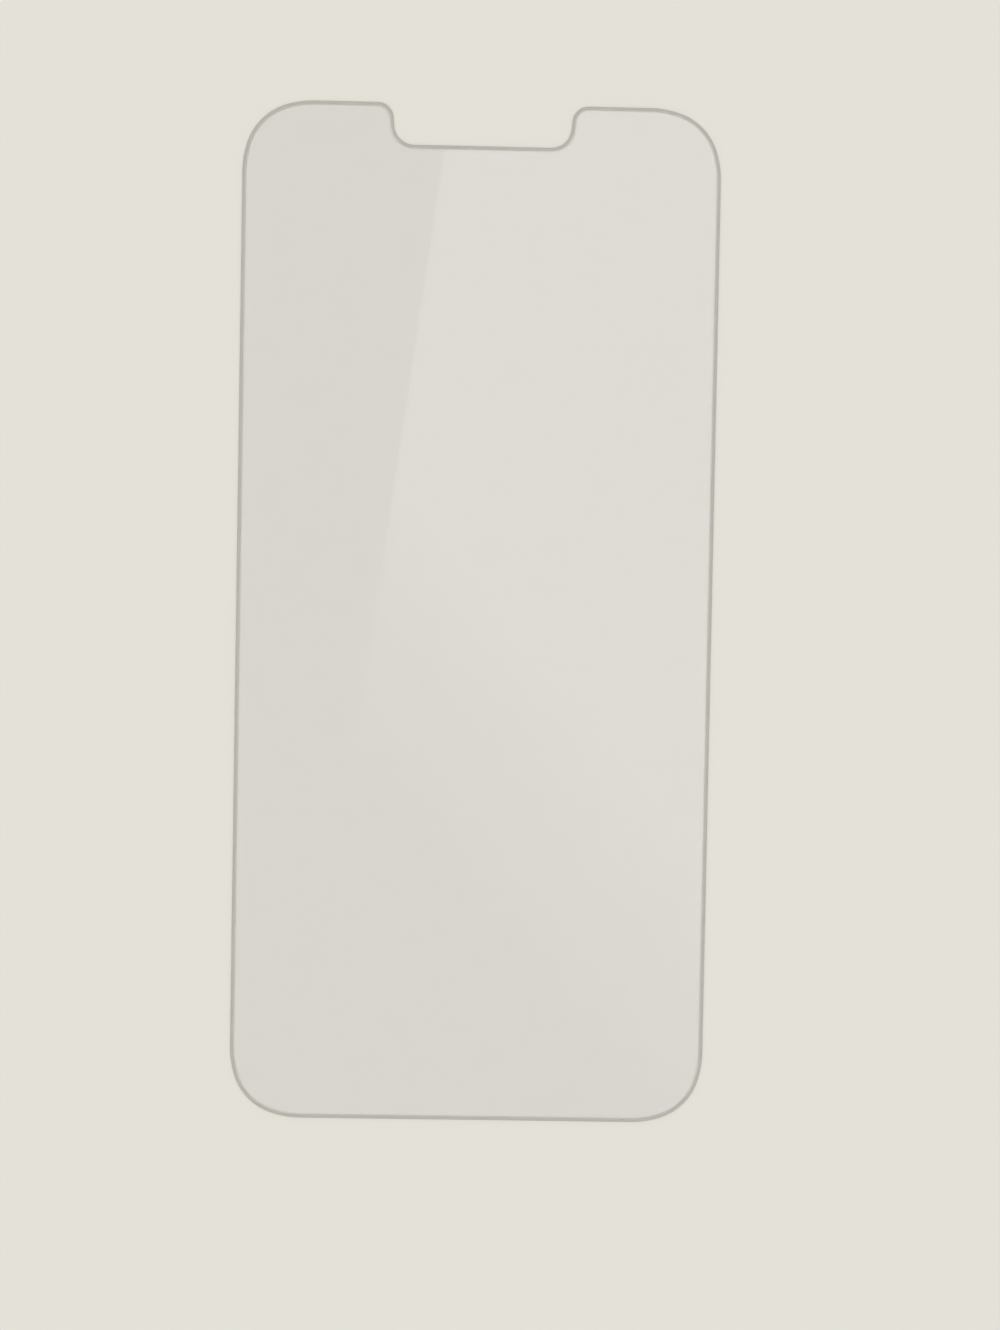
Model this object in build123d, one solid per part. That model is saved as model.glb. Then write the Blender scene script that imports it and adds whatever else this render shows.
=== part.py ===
from build123d import *

import math
import os

# Clear glass screen protector: one thin sheet with a notch in one end, ground to its outline and
# rolled over at the upper edge all the way round. Millimetres, +Z up. The sheet lies on its flat
# underside with the notched end at +Y, and the origin is the middle of the underside.

# Sheet
SHEET_WIDTH = 66.6
SHEET_LENGTH = 142.3
GLASS_THICKNESS = 0.33

# Outer corners: a main arc between two wider easing arcs, so that the sides curve in softly
CORNER_RADIUS = 8.1
CORNER_EASE_RADIUS = 13.4
CORNER_EASE_ANGLE = 18.0

# Notch in the upper end, with walls that lean in towards its floor
NOTCH_WIDTH = 24.8  # clear width halfway down
NOTCH_DEPTH = 5.8
NOTCH_WALL_LEAN = 5.4
NOTCH_LIP_RADIUS = 2.2
NOTCH_ROOT_RADIUS = 2.85
LIP_SHARE_OF_DEPTH = 0.4  # the most of the notch's depth that the lip arc may take
ROOT_SHARE_OF_DEPTH = 0.55  # the same for the root arc

# Edge, from the face outwards: a roll tangent to the face, an upright land, a break at the underside
EDGE_ROLL_WIDTH = 0.55
EDGE_LAND = 0.07
UNDERSIDE_BREAK = 0.04


def corner_reach(scale):
    """How far an outer corner's curve runs back along each of its two sides."""
    ease = math.radians(CORNER_EASE_ANGLE)
    from_ease = CORNER_EASE_RADIUS * (1 + math.sin(ease) - math.cos(ease))
    from_main = CORNER_RADIUS * (math.cos(ease) - math.sin(ease))
    return scale * (from_ease + from_main)


def draw_corner(run, scale):
    """A clockwise outer corner, tangent to the straight run before it. Returns its last arc."""
    main_angle = 90 - 2 * CORNER_EASE_ANGLE
    ease_in = JernArc(run @ 1, run % 1, scale * CORNER_EASE_RADIUS, -CORNER_EASE_ANGLE)
    main = JernArc(ease_in @ 1, ease_in % 1, scale * CORNER_RADIUS, -main_angle)
    return JernArc(main @ 1, main % 1, scale * CORNER_EASE_RADIUS, -CORNER_EASE_ANGLE)


def draw_notch_half():
    """The right half of the notch, from the end of its flat floor to the top edge. Returns its lip."""
    lip_radius = min(NOTCH_LIP_RADIUS, LIP_SHARE_OF_DEPTH * NOTCH_DEPTH)
    root_radius = min(NOTCH_ROOT_RADIUS, ROOT_SHARE_OF_DEPTH * NOTCH_DEPTH)
    lean = math.radians(NOTCH_WALL_LEAN)
    turn = 90 - NOTCH_WALL_LEAN

    lip_drop = lip_radius * (1 - math.sin(lean))
    root_rise = root_radius * (1 - math.sin(lean))
    wall_length = (NOTCH_DEPTH - lip_drop - root_rise) / math.cos(lean)
    wall_foot_x = NOTCH_WIDTH / 2 - (NOTCH_DEPTH / 2 - root_rise) * math.tan(lean)
    floor_end_x = wall_foot_x - root_radius * math.cos(lean)

    root = JernArc((floor_end_x, SHEET_LENGTH / 2 - NOTCH_DEPTH), (1, 0), root_radius, turn)
    wall = PolarLine(root @ 1, wall_length, direction=root % 1)
    return JernArc(wall @ 1, wall % 1, lip_radius, -turn)


def right_side():
    """Half of the outline, from the notch's floor round to the lower edge."""
    with BuildLine() as side:
        lip = draw_notch_half()
        room_beside_notch = SHEET_WIDTH / 2 - (lip @ 1).X
        scale = min(1, room_beside_notch / corner_reach(1))
        reach = corner_reach(scale)
        # Where the notch leaves no straight run, the corner follows straight on from the lip
        has_run = room_beside_notch > reach
        top_run = Line(lip @ 1, (SHEET_WIDTH / 2 - reach, SHEET_LENGTH / 2)) if has_run else lip
        top_corner = draw_corner(top_run, scale)
        long_run = Line(top_corner @ 1, (SHEET_WIDTH / 2, reach - SHEET_LENGTH / 2))
        draw_corner(long_run, scale)
    return side.line


def sheet_outline():
    """The whole outline: the right side, its mirror image, the notch's floor and the lower edge."""
    right = right_side()
    left = mirror(right, about=Plane.YZ)
    floor = Line(left @ 0, right @ 0)
    lower_edge = Line(right @ 1, left @ 1)
    return Wire([floor, *right.edges(), lower_edge, *left.edges()])


def roll_tool(outline):
    """The section that the edge is ground with, standing on the outline's start, with X outwards."""
    face_height = GLASS_THICKNESS
    roll_end_height = EDGE_LAND + UNDERSIDE_BREAK
    clear_height = face_height + EDGE_ROLL_WIDTH
    along = outline % 0
    standing = Plane(origin=outline @ 0, x_dir=(-along.Y, along.X, 0), z_dir=along)
    with BuildSketch(standing) as section:
        with BuildLine():
            roll = TangentArc((-EDGE_ROLL_WIDTH, face_height), (0, roll_end_height), tangent=(1, 0))
            Polyline(
                roll @ 1,
                (EDGE_ROLL_WIDTH, roll_end_height),
                (EDGE_ROLL_WIDTH, clear_height),
                (-EDGE_ROLL_WIDTH, clear_height),
                roll @ 0,
            )
        make_face()
    return section.sketch


def glass_sheet():
    """The sheet: cut to its outline, rolled at the upper edge and broken at the lower one."""
    outline = sheet_outline()
    blank = extrude(make_face(outline), GLASS_THICKNESS)
    rolled = blank - sweep(roll_tool(outline), path=outline)
    underside = rolled.faces().sort_by(Axis.Z)[0]
    return chamfer(underside.outer_wire().edges(), UNDERSIDE_BREAK)


os.makedirs("parts", exist_ok=True)
export_step(glass_sheet(), "parts/glass_sheet.step")
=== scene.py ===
"""Clear glass screen protector lying flat on a pale surface, seen from above. Metres, +Z up."""

import math

import bpy
from mathutils import Matrix, Vector
from mathutils.geometry import delaunay_2d_cdt


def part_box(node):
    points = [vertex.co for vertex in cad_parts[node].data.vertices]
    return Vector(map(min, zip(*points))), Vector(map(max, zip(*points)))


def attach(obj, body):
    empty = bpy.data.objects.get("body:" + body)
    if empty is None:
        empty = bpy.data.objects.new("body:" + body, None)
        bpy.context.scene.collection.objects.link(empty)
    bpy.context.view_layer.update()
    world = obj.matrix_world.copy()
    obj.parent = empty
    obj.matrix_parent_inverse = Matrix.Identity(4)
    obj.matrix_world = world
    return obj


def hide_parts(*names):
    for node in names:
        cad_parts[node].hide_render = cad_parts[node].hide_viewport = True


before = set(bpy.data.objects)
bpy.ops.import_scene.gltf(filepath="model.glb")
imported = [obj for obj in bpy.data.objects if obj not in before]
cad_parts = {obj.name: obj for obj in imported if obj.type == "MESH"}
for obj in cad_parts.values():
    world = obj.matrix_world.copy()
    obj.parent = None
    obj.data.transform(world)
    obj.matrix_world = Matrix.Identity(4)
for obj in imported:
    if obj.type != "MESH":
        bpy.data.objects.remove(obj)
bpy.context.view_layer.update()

MM = 0.001

# Sheet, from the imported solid
sheet_low, sheet_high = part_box("glass_sheet")
SHEET_WIDTH = sheet_high.x - sheet_low.x
SHEET_LENGTH = sheet_high.y - sheet_low.y
GLASS_THICKNESS = sheet_high.z - sheet_low.z

# Outer corners: a main arc between two wider easing arcs
CORNER_RADIUS = 8.1 * MM
CORNER_EASE_RADIUS = 13.4 * MM
CORNER_EASE_ANGLE = 18.0

# Notch in the upper end, with walls that lean in towards its floor
NOTCH_WIDTH = 24.8 * MM  # clear width halfway down
NOTCH_DEPTH = 5.8 * MM
NOTCH_WALL_LEAN = 5.4
NOTCH_LIP_RADIUS = 2.2 * MM
NOTCH_ROOT_RADIUS = 2.85 * MM

# Edge section
EDGE_ROLL_WIDTH = 0.55 * MM
EDGE_LAND = 0.07 * MM
UNDERSIDE_BREAK = 0.04 * MM

# Mesh fineness
STRAIGHT_STEP = 3.0 * MM
ARC_STEP_ANGLE = 3.0
ARC_STEPS_AT_LEAST = 4
ROLL_STEPS = 12
POLISHED_ROLL_STEPS = 3  # the roll's last steps, which share the face's polish
HOLDING_BAND = 0.12 * MM  # flat strip beside the edge that keeps the faces' shading flat
LATTICE_STEP = 3.0 * MM
LATTICE_MARGIN = 1.8 * MM

# Glass
GLASS_IOR = 1.51
GLASS_TINT = (0.9712, 0.9698, 0.9837, 1.0)
POLISH_ROUGHNESS = (0.012, 0.03)
POLISH_CLOUD_SIZE = 11.0 * MM
POLISH_CLOUD_DETAIL = 3.0
TEMPER_WAVE_SIZE = 36.0 * MM
TEMPER_WAVE_DETAIL = 0.0
TEMPER_WAVE_HEIGHT = 0.006 * MM

# Ground edge
# The ground edge's greys are partly its satin tone and partly painted shade: darker than ground glass,
# standing in for the shade that refraction casts along the rolled edge
GROUND_GREYS_WITH_PAINTED_SHADE = ((0.49, 0.47, 0.42, 1.0), (0.56, 0.535, 0.48, 1.0))
GROUND_SEE_THROUGH = 0.2
GROUND_ROUGHNESS = (0.38, 0.55)
GROUND_CLOUD_SIZE = 2.5 * MM
GROUND_CLOUD_DETAIL = 2.0
GRIND_LINE_SIZE = 0.033 * MM
GRIND_LINE_DETAIL = 3.0
GRIND_LINE_STRETCH = 50.0  # how many times longer than wide a line is
GRIND_LINE_DEPTH = 0.004 * MM

NOISE_SPAN = (0.3, 0.7)  # where most of a noise texture's values lie

# Camera, as a turn and shift of the sheet in front of it
CAMERA_TURN = (1.644, 0.948, -1.042)
CAMERA_SHIFT = (-3.597 * MM, 6.864 * MM, -258.74 * MM)
CAMERA_LENS = 50.0
CAMERA_SENSOR = 36.0
CAMERA_CLIP = 10.0 * MM

# Floor
FLOOR_COLOUR = (0.775, 0.757, 0.688, 1.0)
FLOOR_ROUGHNESS = 0.9
FLOOR_SHINE = 0.0
FLOOR_SIZE = 12.0
FLOOR_GAP = 0.02 * MM  # between the floor and the sheet's underside

# Studio dome: brightness by height, from the horizon at 0 to straight up at 1
WALL_FROM = 0.20
WALL_TO = 0.55
SIDES_FROM = 0.65
SIDES_TO = 0.88
CEILING_FROM = 0.95
WALL_LIGHT = 0.87
SIDES_LIGHT = 1.29
CEILING_LIGHT = 0.46

# Light cards that stand in a ring round the sheet
CARD_COUNT = 8
CARD_RING_RADIUS = 0.8
CARD_FOOT = 0.01
CARD_TOP = 0.75
CARD_ANGLE = 22.5  # each card's width, seen from the sheet
CARD_START = 5.0  # bearing of the first card's left edge
CARD_LEAN = 6.0  # how far the top is turned to the left of the foot
CARD_LIGHT = (0.84, 2.13)  # at the foot and at the top

# Glare: a card overhead, whose straight edge the glass mirrors between two points on the sheet
GLARE_EDGE_TOP = Vector((-5.2 * MM, 65.4 * MM))
GLARE_EDGE_END = Vector((-15.5 * MM, -12.0 * MM))
GLARE_OVERRUN = 20.0 * MM
GLARE_LIGHT = 1.53
GLARE_FADE_TOWARDS = (0.756, 0.654, 0.0)  # on the sheet, from no glare to full glare
GLARE_FADE_FROM = -26.0 * MM
GLARE_FADE_TO = 4.0 * MM
GLARE_CARD_HEIGHT = 0.62

POLISHED, GROUND = 0, 1  # the sheet's material slots


class Pen:
    """Walks along the outline and keeps each point with its outward normal and the way so far."""

    def __init__(self, x, y, heading):
        self.at = Vector((x, y))
        self.heading = heading
        self.way = 0.0
        self.steps = []
        self.keep()

    def keep(self):
        normal = Vector((-math.sin(self.heading), math.cos(self.heading)))
        self.steps.append((self.at.copy(), normal, self.way))

    def straight(self, length):
        count = max(1, round(length / STRAIGHT_STEP))
        ahead = Vector((math.cos(self.heading), math.sin(self.heading)))
        for _ in range(count):
            self.at += ahead * (length / count)
            self.way += length / count
            self.keep()

    def arc(self, radius, degrees):
        """Turns left for positive degrees and right for negative ones."""
        count = max(ARC_STEPS_AT_LEAST, round(abs(degrees) / ARC_STEP_ANGLE))
        step = math.radians(degrees) / count
        chord = 2 * radius * math.sin(abs(step) / 2)
        for _ in range(count):
            along = self.heading + step / 2
            self.at += chord * Vector((math.cos(along), math.sin(along)))
            self.heading += step
            self.way += radius * abs(step)
            self.keep()


def corner_reach():
    """How far an outer corner's curve runs back along each of its two sides."""
    ease = math.radians(CORNER_EASE_ANGLE)
    from_ease = CORNER_EASE_RADIUS * (1 + math.sin(ease) - math.cos(ease))
    from_main = CORNER_RADIUS * (math.cos(ease) - math.sin(ease))
    return from_ease + from_main


def draw_corner(pen):
    """An outer corner, turned to the right."""
    pen.arc(CORNER_EASE_RADIUS, -CORNER_EASE_ANGLE)
    pen.arc(CORNER_RADIUS, 2 * CORNER_EASE_ANGLE - 90)
    pen.arc(CORNER_EASE_RADIUS, -CORNER_EASE_ANGLE)


def right_half():
    """Steps from the middle of the notch's floor round to the middle of the lower edge."""
    lean = math.radians(NOTCH_WALL_LEAN)
    turn = 90 - NOTCH_WALL_LEAN
    lip_drop = NOTCH_LIP_RADIUS * (1 - math.sin(lean))
    root_rise = NOTCH_ROOT_RADIUS * (1 - math.sin(lean))
    wall_length = (NOTCH_DEPTH - lip_drop - root_rise) / math.cos(lean)
    wall_foot_x = NOTCH_WIDTH / 2 - (NOTCH_DEPTH / 2 - root_rise) * math.tan(lean)
    reach = corner_reach()

    pen = Pen(0.0, SHEET_LENGTH / 2 - NOTCH_DEPTH, 0.0)
    pen.straight(wall_foot_x - NOTCH_ROOT_RADIUS * math.cos(lean))
    pen.arc(NOTCH_ROOT_RADIUS, turn)
    pen.straight(wall_length)
    pen.arc(NOTCH_LIP_RADIUS, -turn)
    pen.straight(SHEET_WIDTH / 2 - reach - pen.at.x)
    draw_corner(pen)
    pen.straight(SHEET_LENGTH - 2 * reach)
    draw_corner(pen)
    pen.straight(pen.at.x)
    return pen.steps


def outline():
    """The closed outline: the right half, then its mirror image back to the start."""
    right = right_half()
    _, _, half_way = right[-1]
    left = []
    for point, normal, way in reversed(right[1:-1]):
        flipped = Vector((-point.x, point.y))
        left.append((flipped, Vector((-normal.x, normal.y)), 2 * half_way - way))
    return right + left


def edge_section():
    """Rings from the underside over the edge to the upper face, each as its inset and height."""
    drop = GLASS_THICKNESS - EDGE_LAND - UNDERSIDE_BREAK
    roll_radius = (EDGE_ROLL_WIDTH**2 + drop**2) / (2 * drop)
    roll_end = math.asin(EDGE_ROLL_WIDTH / roll_radius)
    rings = [
        (UNDERSIDE_BREAK + HOLDING_BAND, 0.0),
        (UNDERSIDE_BREAK, 0.0),
        (0.0, UNDERSIDE_BREAK),
    ]
    for k in range(ROLL_STEPS + 1):
        angle = roll_end * (1 - k / ROLL_STEPS)
        inset = EDGE_ROLL_WIDTH - roll_radius * math.sin(angle)
        rings.append((inset, GLASS_THICKNESS - roll_radius * (1 - math.cos(angle))))
    rings.append((EDGE_ROLL_WIDTH + HOLDING_BAND, GLASS_THICKNESS))
    return rings


def inside(point, ring):
    """Whether a point lies inside a closed ring of points."""
    crossings = 0
    for a, b in zip(ring, ring[1:] + ring[:1]):
        if (a.y > point.y) != (b.y > point.y):
            crossings += point.x < a.x + (b.x - a.x) * (point.y - a.y) / (b.y - a.y)
    return crossings % 2 == 1


def lattice(ring):
    """Even points over the flat face, clear of its ring."""
    columns = round(SHEET_WIDTH / LATTICE_STEP)
    rows = round(SHEET_LENGTH / LATTICE_STEP)
    points = []
    for row in range(rows + 1):
        for column in range(columns + 1):
            x = (column / columns - 0.5) * SHEET_WIDTH
            y = (row / rows - 0.5) * SHEET_LENGTH
            point = Vector((x, y))
            clear = min((point - other).length for other in ring) > LATTICE_MARGIN
            if clear and inside(point, ring):
                points.append(point)
    return points


def face_triangles(ring):
    """Lattice points inside a ring, and the triangles over both, the ring's points first."""
    extra = lattice(ring)
    points = [point / MM for point in ring + extra]
    edges = [(k, (k + 1) % len(ring)) for k in range(len(ring))]
    inside_only = 1
    tolerance = 1e-6
    _, _, triangles, *_ = delaunay_2d_cdt(points, edges, [], inside_only, tolerance)
    return extra, triangles


def ring_points(steps, inset):
    """The outline, moved into the glass by an inset."""
    return [point - normal * inset for point, normal, _ in steps]


def edge_band(steps, section):
    """Faces round the edge, with their material slots and their places along and over the edge."""
    count = len(steps)
    ways = [way for _, _, way in steps]
    ways.append(ways[-1] + (steps[-1][0] - steps[0][0]).length)
    heights = [0.0]
    for lower, upper in zip(section, section[1:]):
        heights.append(heights[-1] + math.dist(lower, upper))

    # Both holding bands and the roll's last steps are polished, and all between them is ground
    first_ground = 1
    after_ground = len(section) - 2 - POLISHED_ROLL_STEPS
    faces, slots, places = [], [], []
    for ring in range(len(section) - 1):
        low, high = ring * count, (ring + 1) * count
        slot = GROUND if first_ground <= ring < after_ground else POLISHED
        for k in range(count):
            after = (k + 1) % count
            faces.append((low + after, low + k, high + k, high + after))
            slots.append(slot)
            places += [(ways[k + 1], heights[ring]), (ways[k], heights[ring])]
            places += [(ways[k], heights[ring + 1]), (ways[k + 1], heights[ring + 1])]
    return faces, slots, places


def mark_creases(mesh, count):
    """Keeps the underside's break and the foot of the roll crisp."""
    crease_rings = (1, 2, 3)
    for edge in mesh.edges:
        a, b = edge.vertices
        ring = a // count
        edge.use_edge_sharp = ring == b // count and ring in crease_rings


def build_sheet():
    """The sheet as one closed mesh: a ground band round the edge, between two polished faces."""
    steps = outline()
    section = edge_section()
    count = len(steps)
    vertices = []
    for inset, height in section:
        vertices += [(p.x, p.y, height) for p in ring_points(steps, inset)]
    faces, slots, places = edge_band(steps, section)

    last_ring = len(section) - 1
    for ring, upward in ((0, False), (last_ring, True)):
        inset, height = section[ring]
        extra, triangles = face_triangles(ring_points(steps, inset))
        start = len(vertices)
        vertices += [(p.x, p.y, height) for p in extra]
        for triangle in triangles:
            corners = [ring * count + k if k < count else start + k - count for k in triangle]
            if not upward:
                corners.reverse()
            faces.append(tuple(corners))
            slots.append(POLISHED)
            places += [vertices[k][:2] for k in corners]

    mesh = bpy.data.meshes.new("screen_glass")
    mesh.from_pydata(vertices, [], faces)
    mesh.polygons.foreach_set("material_index", slots)
    mesh.shade_smooth()
    mark_creases(mesh, count)
    layer = mesh.uv_layers.new(name="along_edge")
    layer.data.foreach_set("uv", [value for place in places for value in place])
    sheet = bpy.data.objects.new("screen_glass", mesh)
    bpy.context.scene.collection.objects.link(sheet)
    return sheet


def new_material(name):
    """A material, its node tree and its Principled shader."""
    material = bpy.data.materials.new(name)
    material.use_nodes = True
    return material, material.node_tree, material.node_tree.nodes["Principled BSDF"]


def noise(tree, place, size, detail):
    """Noise with lumps of about the given size. Returns its value."""
    texture = tree.nodes.new("ShaderNodeTexNoise")
    texture.inputs["Scale"].default_value = 1 / size
    texture.inputs["Detail"].default_value = detail
    tree.links.new(place, texture.inputs["Vector"])
    return texture.outputs["Fac"]


def map_range(tree, value, source, target):
    """Moves a value from one span to another, and keeps it inside that."""
    node = tree.nodes.new("ShaderNodeMapRange")
    spans = zip(("From Min", "From Max", "To Min", "To Max"), (*source, *target))
    for socket, limit in spans:
        node.inputs[socket].default_value = limit
    tree.links.new(value, node.inputs["Value"])
    return node.outputs["Result"]


def bump(tree, height, distance, shader):
    """Gives a shader relief from a value, of the given height."""
    node = tree.nodes.new("ShaderNodeBump")
    node.inputs["Distance"].default_value = distance
    tree.links.new(height, node.inputs["Height"])
    tree.links.new(node.outputs["Normal"], shader.inputs["Normal"])


def polished_glass():
    """Clear tempered glass: a faint cool tint, a slow wave from tempering, slight changes in polish."""
    material, tree, shader = new_material("polished_glass")
    place = tree.nodes.new("ShaderNodeTexCoord").outputs["Object"]
    shader.inputs["Base Color"].default_value = GLASS_TINT
    shader.inputs["Transmission Weight"].default_value = 1.0
    shader.inputs["IOR"].default_value = GLASS_IOR
    polish = noise(tree, place, POLISH_CLOUD_SIZE, POLISH_CLOUD_DETAIL)
    roughness = map_range(tree, polish, NOISE_SPAN, POLISH_ROUGHNESS)
    tree.links.new(roughness, shader.inputs["Roughness"])
    wave = noise(tree, place, TEMPER_WAVE_SIZE, TEMPER_WAVE_DETAIL)
    bump(tree, wave, TEMPER_WAVE_HEIGHT, shader)
    return material


def ground_edge():
    """Satin ground glass, a little see-through, with fine lines along the edge. Its grey is partly
    painted shade: darker than ground glass, standing in for the shade the rolled edge casts by
    refraction.
    """
    material, tree, shader = new_material("ground_edge")
    along = tree.nodes.new("ShaderNodeUVMap")
    along.uv_map = "along_edge"
    stretch = tree.nodes.new("ShaderNodeMapping")
    stretch.inputs["Scale"].default_value = (1 / GRIND_LINE_STRETCH, 1.0, 1.0)
    tree.links.new(along.outputs["UV"], stretch.inputs["Vector"])
    lines = noise(tree, stretch.outputs["Vector"], GRIND_LINE_SIZE, GRIND_LINE_DETAIL)
    cloud = noise(tree, along.outputs["UV"], GROUND_CLOUD_SIZE, GROUND_CLOUD_DETAIL)

    # Painted shade: the edge's two greys are set dark to stand in for the refraction shade along the
    # rolled edge, mixed by clouds as tone that differs at random
    shade = tree.nodes.new("ShaderNodeMix")
    shade.data_type = "RGBA"
    shade.inputs["A"].default_value, shade.inputs["B"].default_value = GROUND_GREYS_WITH_PAINTED_SHADE
    tree.links.new(cloud, shade.inputs["Factor"])
    tree.links.new(shade.outputs["Result"], shader.inputs["Base Color"])
    shader.inputs["Transmission Weight"].default_value = GROUND_SEE_THROUGH
    shader.inputs["IOR"].default_value = GLASS_IOR
    roughness = map_range(tree, lines, NOISE_SPAN, GROUND_ROUGHNESS)
    tree.links.new(roughness, shader.inputs["Roughness"])
    bump(tree, lines, GRIND_LINE_DEPTH, shader)
    return material


def build_camera():
    """The camera, placed so that it sees the upper face turned and shifted as set above."""
    turn = Matrix.Identity(3)
    for degrees, axis in zip(CAMERA_TURN, "XYZ"):
        turn = turn @ Matrix.Rotation(math.radians(degrees), 3, axis)
    lift = Matrix.Translation((0.0, 0.0, -GLASS_THICKNESS))
    sheet_in_view = Matrix.Translation(CAMERA_SHIFT) @ turn.to_4x4() @ lift
    data = bpy.data.cameras.new("camera")
    data.lens = CAMERA_LENS
    data.sensor_width = CAMERA_SENSOR
    data.clip_start = CAMERA_CLIP
    camera = bpy.data.objects.new("camera", data)
    camera.matrix_world = sheet_in_view.inverted()
    bpy.context.scene.collection.objects.link(camera)
    bpy.context.scene.camera = camera
    return camera


def stage_plane(name, corners):
    """A flat four-sided piece of the studio."""
    mesh = bpy.data.meshes.new(name)
    mesh.from_pydata(corners, [], [(0, 1, 2, 3)])
    plane = bpy.data.objects.new(name, mesh)
    bpy.context.scene.collection.objects.link(plane)
    return plane


def build_floor():
    """The pale surface under the sheet."""
    half = FLOOR_SIZE / 2
    corners = [(-half, -half), (half, -half), (half, half), (-half, half)]
    floor = stage_plane("floor", [(x, y, -FLOOR_GAP) for x, y in corners])
    material, _, shader = new_material("pale_floor")
    shader.inputs["Base Color"].default_value = FLOOR_COLOUR
    shader.inputs["Roughness"].default_value = FLOOR_ROUGHNESS
    shader.inputs["Specular IOR Level"].default_value = FLOOR_SHINE
    floor.data.materials.append(material)


def light_card(name, corners, material):
    """A glowing card that the glass mirrors. It lights nothing, and the camera doesn't see it."""
    card = stage_plane(name, corners)
    card.data.materials.append(material)
    card.visible_camera = False
    card.visible_diffuse = False
    card.visible_transmission = False
    card.visible_shadow = False
    return card


def glow(name):
    """A material of plain light. Returns it with its node tree, its shader and its output."""
    material = bpy.data.materials.new(name)
    material.use_nodes = True
    tree = material.node_tree
    tree.nodes.clear()
    shader = tree.nodes.new("ShaderNodeEmission")
    output = tree.nodes.new("ShaderNodeOutputMaterial")
    tree.links.new(shader.outputs["Emission"], output.inputs["Surface"])
    return material, tree, shader, output


def ring_light():
    """Light that grows from a card's foot to its top."""
    material, tree, shader, _ = glow("ring_light")
    place = tree.nodes.new("ShaderNodeTexCoord").outputs["Object"]
    split = tree.nodes.new("ShaderNodeSeparateXYZ")
    tree.links.new(place, split.inputs["Vector"])
    light = map_range(tree, split.outputs["Z"], (CARD_FOOT, CARD_TOP), CARD_LIGHT)
    tree.links.new(light, shader.inputs["Strength"])
    return material


def card_corner(bearing, height):
    """A point of the ring, at a bearing in degrees."""
    turn = math.radians(bearing)
    return (CARD_RING_RADIUS * math.cos(turn), CARD_RING_RADIUS * math.sin(turn), height)


def build_card_ring():
    """Cards all round the sheet, so that the glass mirrors the edge of one from every side."""
    material = ring_light()
    for k in range(CARD_COUNT):
        left = CARD_START + 360 / CARD_COUNT * k
        right = left - CARD_ANGLE
        corners = [
            card_corner(left, CARD_FOOT),
            card_corner(right, CARD_FOOT),
            card_corner(right + CARD_LEAN, CARD_TOP),
            card_corner(left + CARD_LEAN, CARD_TOP),
        ]
        light_card(f"light_card_{k}", corners, material)


def glare_corners():
    """The four corners of the glare on the sheet's plane, from its upper left one clockwise."""
    along = (GLARE_EDGE_END - GLARE_EDGE_TOP).normalized()
    across = Vector((-along.y, along.x)) * SHEET_WIDTH
    upper = GLARE_EDGE_TOP - along * GLARE_OVERRUN
    lower = upper + along * (SHEET_LENGTH + 2 * GLARE_OVERRUN)
    return [upper, upper + across, lower + across, lower]


def glare_light():
    """Light that fades out over the card, placed by where the sheet mirrors it."""
    material, tree, shader, output = glow("glare_light")
    shader.inputs["Strength"].default_value = GLARE_LIGHT
    place = tree.nodes.new("ShaderNodeUVMap").outputs["UV"]
    towards = tree.nodes.new("ShaderNodeVectorMath")
    towards.operation = "DOT_PRODUCT"
    towards.inputs[1].default_value = GLARE_FADE_TOWARDS
    tree.links.new(place, towards.inputs[0])
    fade = map_range(tree, towards.outputs["Value"], (GLARE_FADE_FROM, GLARE_FADE_TO), (0.0, 1.0))
    clear = tree.nodes.new("ShaderNodeBsdfTransparent")
    mix = tree.nodes.new("ShaderNodeMixShader")
    tree.links.new(fade, mix.inputs["Fac"])
    tree.links.new(clear.outputs["BSDF"], mix.inputs[1])
    tree.links.new(shader.outputs["Emission"], mix.inputs[2])
    tree.links.new(mix.outputs["Shader"], output.inputs["Surface"])
    return material


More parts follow.
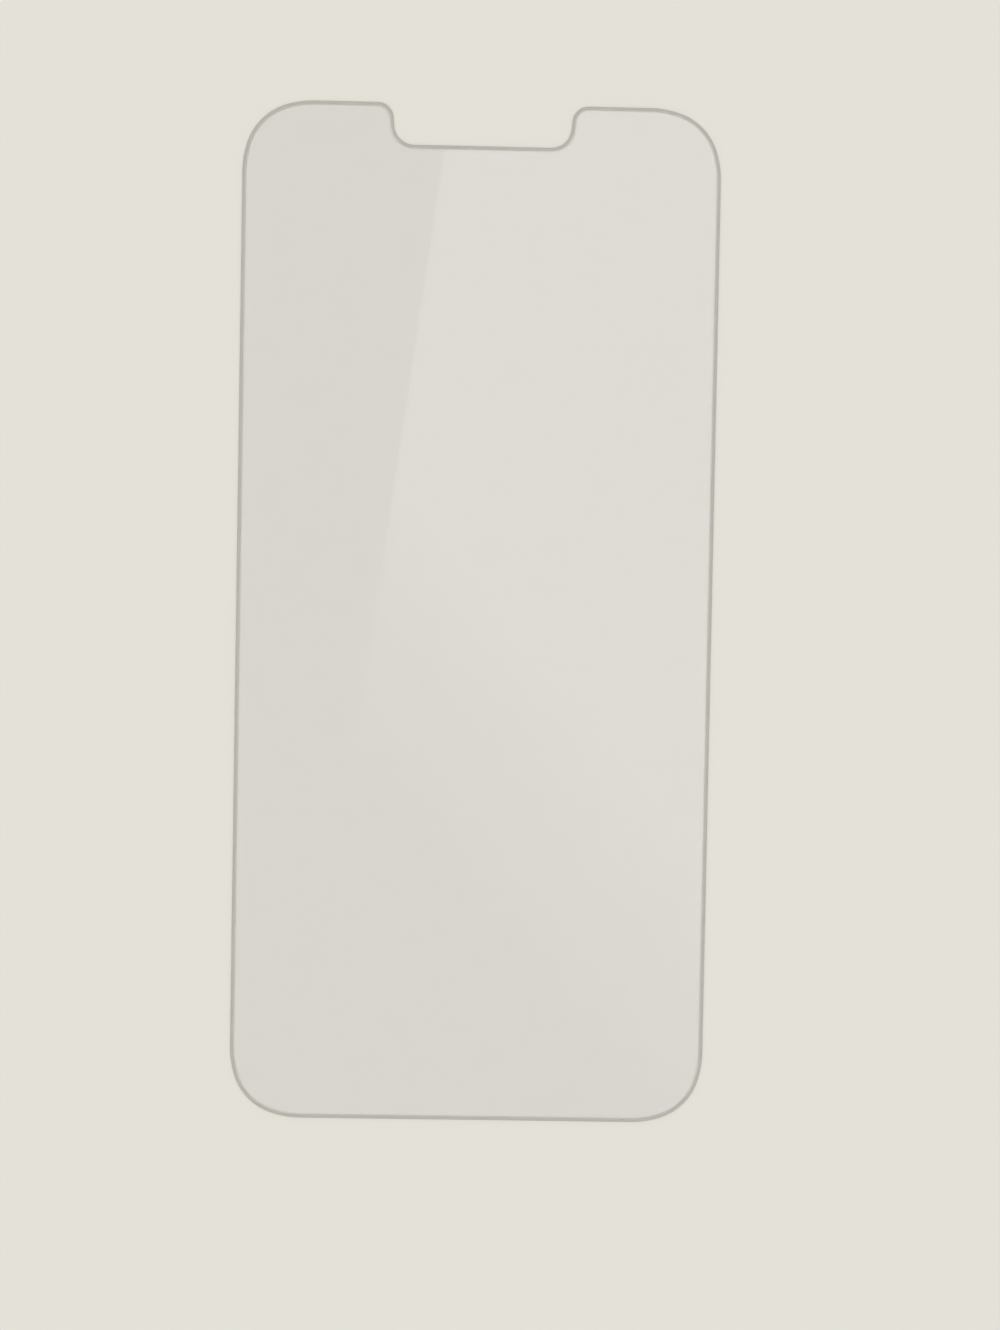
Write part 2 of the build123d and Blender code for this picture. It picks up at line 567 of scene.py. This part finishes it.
def build_glare_card(camera):
    """The card overhead, with its corners where the camera sees them mirrored on the sheet."""
    eye = camera.matrix_world.translation
    spread = (GLARE_CARD_HEIGHT - GLASS_THICKNESS) / (eye.z - GLASS_THICKNESS)
    on_sheet = glare_corners()
    on_card = [point + (point - eye.xy) * spread for point in on_sheet]
    card = light_card("glare_card", [(p.x, p.y, GLARE_CARD_HEIGHT) for p in on_card], glare_light())
    layer = card.data.uv_layers.new(name="on_sheet")
    layer.data.foreach_set("uv", [value for point in on_sheet for value in point])


def grey(light):
    """A grey of the given brightness."""
    return (light, light, light, 1.0)


def build_world():
    """A soft studio dome: a pale wall above the floor's own colour, bright sides, a dim ceiling."""
    world = bpy.data.worlds.new("studio")
    bpy.context.scene.world = world
    world.use_nodes = True
    tree = world.node_tree
    place = tree.nodes.new("ShaderNodeTexCoord")
    split = tree.nodes.new("ShaderNodeSeparateXYZ")
    ramp = tree.nodes.new("ShaderNodeValToRGB")
    tree.links.new(place.outputs["Generated"], split.inputs["Vector"])
    tree.links.new(split.outputs["Z"], ramp.inputs["Fac"])
    tree.links.new(ramp.outputs["Color"], tree.nodes["Background"].inputs["Color"])
    stops = [
        (0.0, FLOOR_COLOUR),
        (WALL_FROM, grey(WALL_LIGHT)),
        (WALL_TO, grey(WALL_LIGHT)),
        (SIDES_FROM, grey(SIDES_LIGHT)),
        (SIDES_TO, grey(SIDES_LIGHT)),
        (CEILING_FROM, grey(CEILING_LIGHT)),
    ]
    ramp.color_ramp.interpolation = "EASE"
    points = ramp.color_ramp.elements
    while len(points) < len(stops):
        points.new(1.0)
    for point, (position, colour) in zip(points, stops):
        point.position = position
        point.color = colour


sheet = build_sheet()
sheet.data.materials.append(polished_glass())
sheet.data.materials.append(ground_edge())
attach(sheet, "root")
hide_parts("glass_sheet")

camera = build_camera()
build_floor()
build_card_ring()
build_glare_card(camera)
build_world()
bpy.context.scene.view_settings.view_transform = "Standard"
# Light passes through the clear sheet to the floor without being softened on its way
bpy.context.scene.cycles.blur_glossy = 0.0
